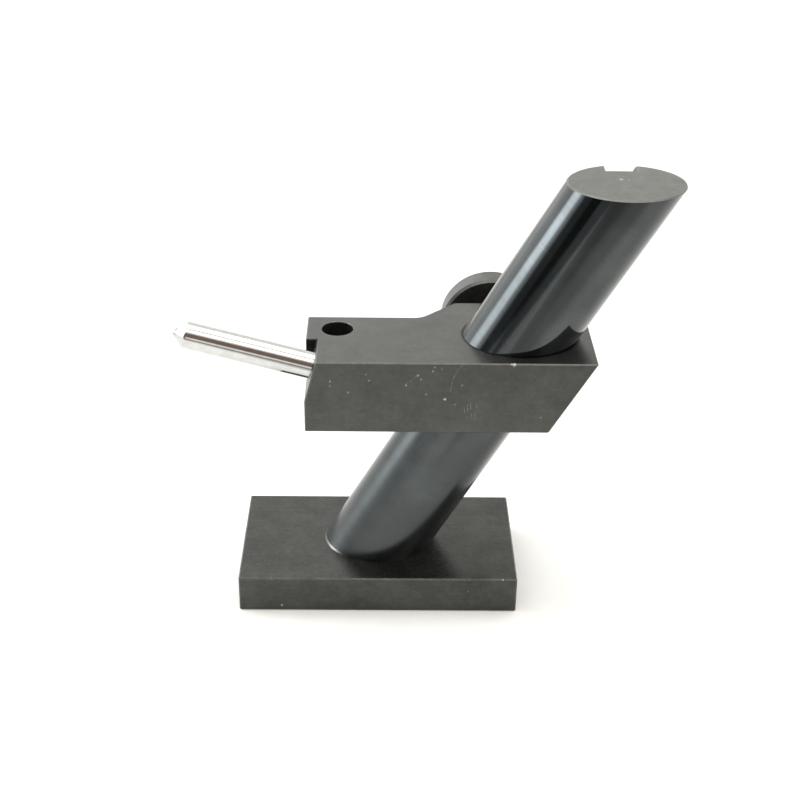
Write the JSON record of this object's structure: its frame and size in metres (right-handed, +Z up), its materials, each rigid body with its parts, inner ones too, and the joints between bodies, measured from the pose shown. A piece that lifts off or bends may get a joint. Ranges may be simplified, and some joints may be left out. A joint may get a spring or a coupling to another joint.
{
  "type": "angled tool post",
  "caption": "Round post leaning on a flat base plate, with a block that slides on it, is clamped by a hand knob, and holds a pointed dressing tool.",
  "frame": {"origin": "centre of the base plate's underside", "axes": "+Z up, +X the way the post leans, -Y the front; the pointed tool points along -X and up, the clamp knob is at +Y"},
  "size_m": [0.1728, 0.0722, 0.1568],
  "materials": {
    "black_oxide_plate": "black oxide, satin",
    "blued_post": "ground and blued, glossy",
    "black_oxide_block": "black oxide, satin",
    "black_oxide_knob": "turned, black oxide",
    "screw_steel": "black oxide screw",
    "ground_steel": "ground",
    "brass": "machined",
    "polished_shank": "polished",
    "nib": "polished"
  },
  "bodies": {
    "base": {"base_plate": "black_oxide_plate", "leaning_post": "blued_post", "post_screws": "screw_steel", "post_dowel": "ground_steel"},
    "block": {"slide_block": "black_oxide_block"},
    "shoe": {"clamp_shoe": "brass"},
    "clamp_screw": {"clamp_stud": "screw_steel", "clamp_knob": "black_oxide_knob", "knob_roll_pin": "ground_steel"},
    "tool": {"tool_shank": "polished_shank", "tool_nib": "nib"},
    "pad": {"tool_pad": "brass"},
    "tool_grub": {"tool_grub_screw": "screw_steel"},
    "upright_grub": {"upright_grub_screw": "screw_steel"}
  },
  "joints": [
    {"name": "block_slide", "type": "slide", "parent": "base", "child": "block", "axis": [0.5, 0, 0.866], "range_m": [-0.066, 0.064]},
    {"name": "shoe_feed", "type": "slide", "parent": "block", "child": "shoe", "axis": [0, 1, 0], "range_m": [0, 0.0016]},
    {"name": "knob_turn", "type": "hinge", "parent": "shoe", "child": "clamp_screw", "pos_m": [0.04168, 0.035, 0.0865], "axis": [0, 1, 0], "range_deg": [0, 360]},
    {"name": "tool_slide", "type": "slide", "parent": "block", "child": "tool", "axis": [-0.9659, 0, 0.2588], "range_m": [-0.006, 0.015]},
    {"name": "pad_feed", "type": "slide", "parent": "block", "child": "pad", "axis": [-0.2588, 0, -0.9659], "range_m": [0, 0.00127]},
    {"name": "tool_grub_turn", "type": "hinge", "parent": "pad", "child": "tool_grub", "pos_m": [-0.00898, -0.0134, 0.09028], "axis": [-0.2588, 0, -0.9659], "range_deg": [0, 360]},
    {"name": "upright_grub_turn", "type": "hinge", "parent": "block", "child": "upright_grub", "pos_m": [-0.015, 0.011, 0.0865], "axis": [0, 1, 0], "range_deg": [0, 360]}
  ],
  "couplings": [
    {"joint": "shoe_feed", "follows": "knob_turn", "m_per_rad": 0.00025266},
    {"joint": "tool_grub_turn", "follows": "pad_feed", "rad_per_m": 4947.3}
  ]
}
